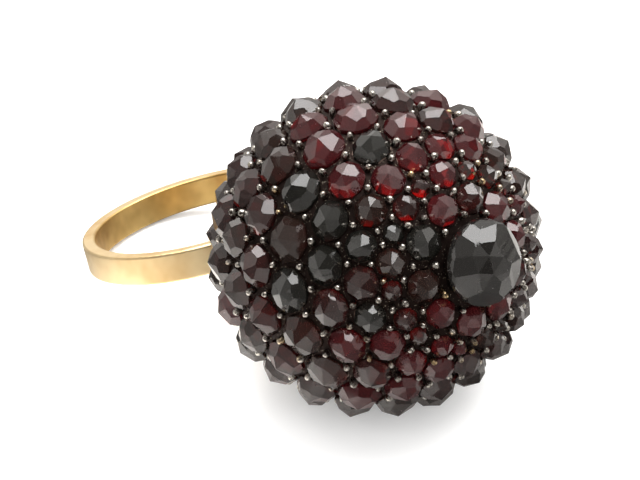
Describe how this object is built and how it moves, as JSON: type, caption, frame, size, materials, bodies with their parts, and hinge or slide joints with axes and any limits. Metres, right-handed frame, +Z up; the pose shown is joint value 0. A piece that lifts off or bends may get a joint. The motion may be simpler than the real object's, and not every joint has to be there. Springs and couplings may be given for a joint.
{
  "type": "garnet ring",
  "caption": "Finger ring with a plain flat gold band and a large ball paved all over with rose-cut garnets, lying on its side.",
  "frame": {"origin": "on the surface that the ring lies on, under the middle of its bounding box", "axes": "+Z up from the surface; +X from the band towards the ball and its large centre stone, along the ring's symmetry plane; +Y to the side. The finger hole's axis leans 22 degrees from +Z towards -X."},
  "size_m": [0.045, 0.0269, 0.0267],
  "materials": {
    "gold": "satin",
    "dark_setting": "satin",
    "garnet": "polished",
    "grain_metal": "polished"
  },
  "bodies": {
    "root": {"shank": "gold", "setting": "dark_setting", "centre_stone": "garnet"}
  },
  "joints": []
}
